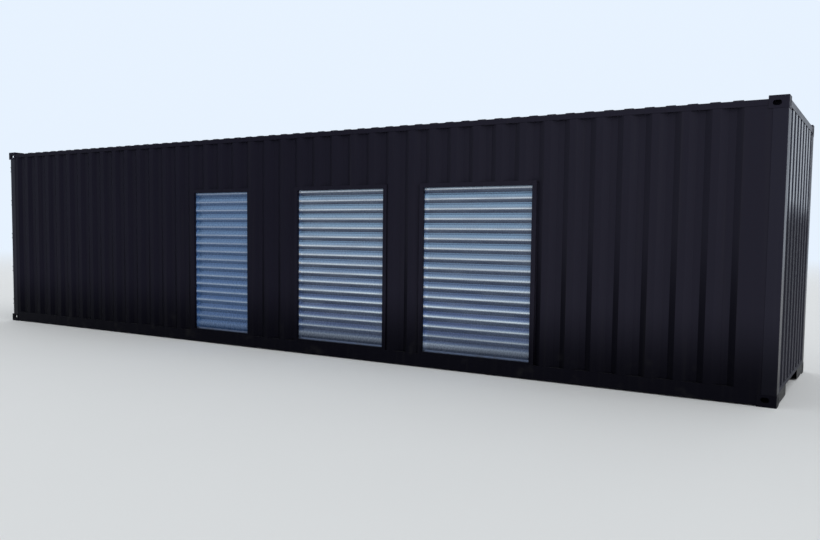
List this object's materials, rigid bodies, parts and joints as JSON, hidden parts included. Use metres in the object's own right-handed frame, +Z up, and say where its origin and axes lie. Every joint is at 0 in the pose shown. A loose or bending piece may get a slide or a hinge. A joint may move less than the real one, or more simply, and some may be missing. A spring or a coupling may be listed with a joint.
{
  "type": "steel storage container with roll-up shutters",
  "caption": "Long corrugated steel container on corner castings, with roll-up shutters in one long side, a closed front end and cargo doors at the rear.",
  "frame": {"origin": "middle of the footprint, on the ground under the corner castings", "axes": "+X towards the closed front end, -X towards the cargo doors, -Y towards the side with the shutters, +Z up"},
  "size_m": [12.192, 2.438, 2.896],
  "materials": {
    "black_paint": "glossy black container paint, a little dusty",
    "black_paint_on_gear": "black paint, worn at the moving places",
    "underside_coating": "matt black bituminous coating",
    "galvanised_steel": "bright galvanised sheet",
    "mill_aluminium": "mill finish",
    "floor_plywood": "oiled marine plywood",
    "gasket_rubber": "black rubber"
  },
  "bodies": {
    "root": {"bottom_corner_castings": "black_paint", "bottom_side_rails": "black_paint", "cam_keepers": "black_paint_on_gear", "cross_members": "underside_coating", "door_gaskets": "gasket_rubber", "door_handles": "black_paint_on_gear", "door_header": "black_paint", "door_hinges": "black_paint_on_gear", "door_sill": "black_paint", "floor_boards": "floor_plywood", "front_bolsters": "underside_coating", "front_corner_posts": "black_paint", "front_sill": "black_paint", "front_top_rail": "black_paint", "front_wall": "black_paint", "left_door": "black_paint", "lock_rods": "black_paint_on_gear", "plain_side_wall": "black_paint", "rear_corner_posts": "black_paint", "right_door": "black_paint", "rod_guides": "black_paint_on_gear", "roof_panel": "black_paint", "shutter_1_bottom_bar": "mill_aluminium", "shutter_1_curtain": "galvanised_steel", "shutter_1_guides": "galvanised_steel", "shutter_1_head_and_sill": "black_paint", "shutter_1_jambs": "black_paint", "shutter_2_bottom_bar": "mill_aluminium", "shutter_2_curtain": "galvanised_steel", "shutter_2_guides": "galvanised_steel", "shutter_2_head_and_sill": "black_paint", "shutter_2_jambs": "black_paint", "shutter_3_bottom_bar": "mill_aluminium", "shutter_3_curtain": "galvanised_steel", "shutter_3_guides": "galvanised_steel", "shutter_3_head_and_sill": "black_paint", "shutter_3_jambs": "black_paint", "side_wall_front": "black_paint", "side_wall_mid_front": "black_paint", "side_wall_mid_rear": "black_paint", "side_wall_rear": "black_paint", "top_corner_castings": "black_paint", "top_side_rails": "black_paint", "tunnel_plate": "underside_coating", "tunnel_webs": "underside_coating", "walls_over_shutters": "black_paint"}
  },
  "joints": []
}
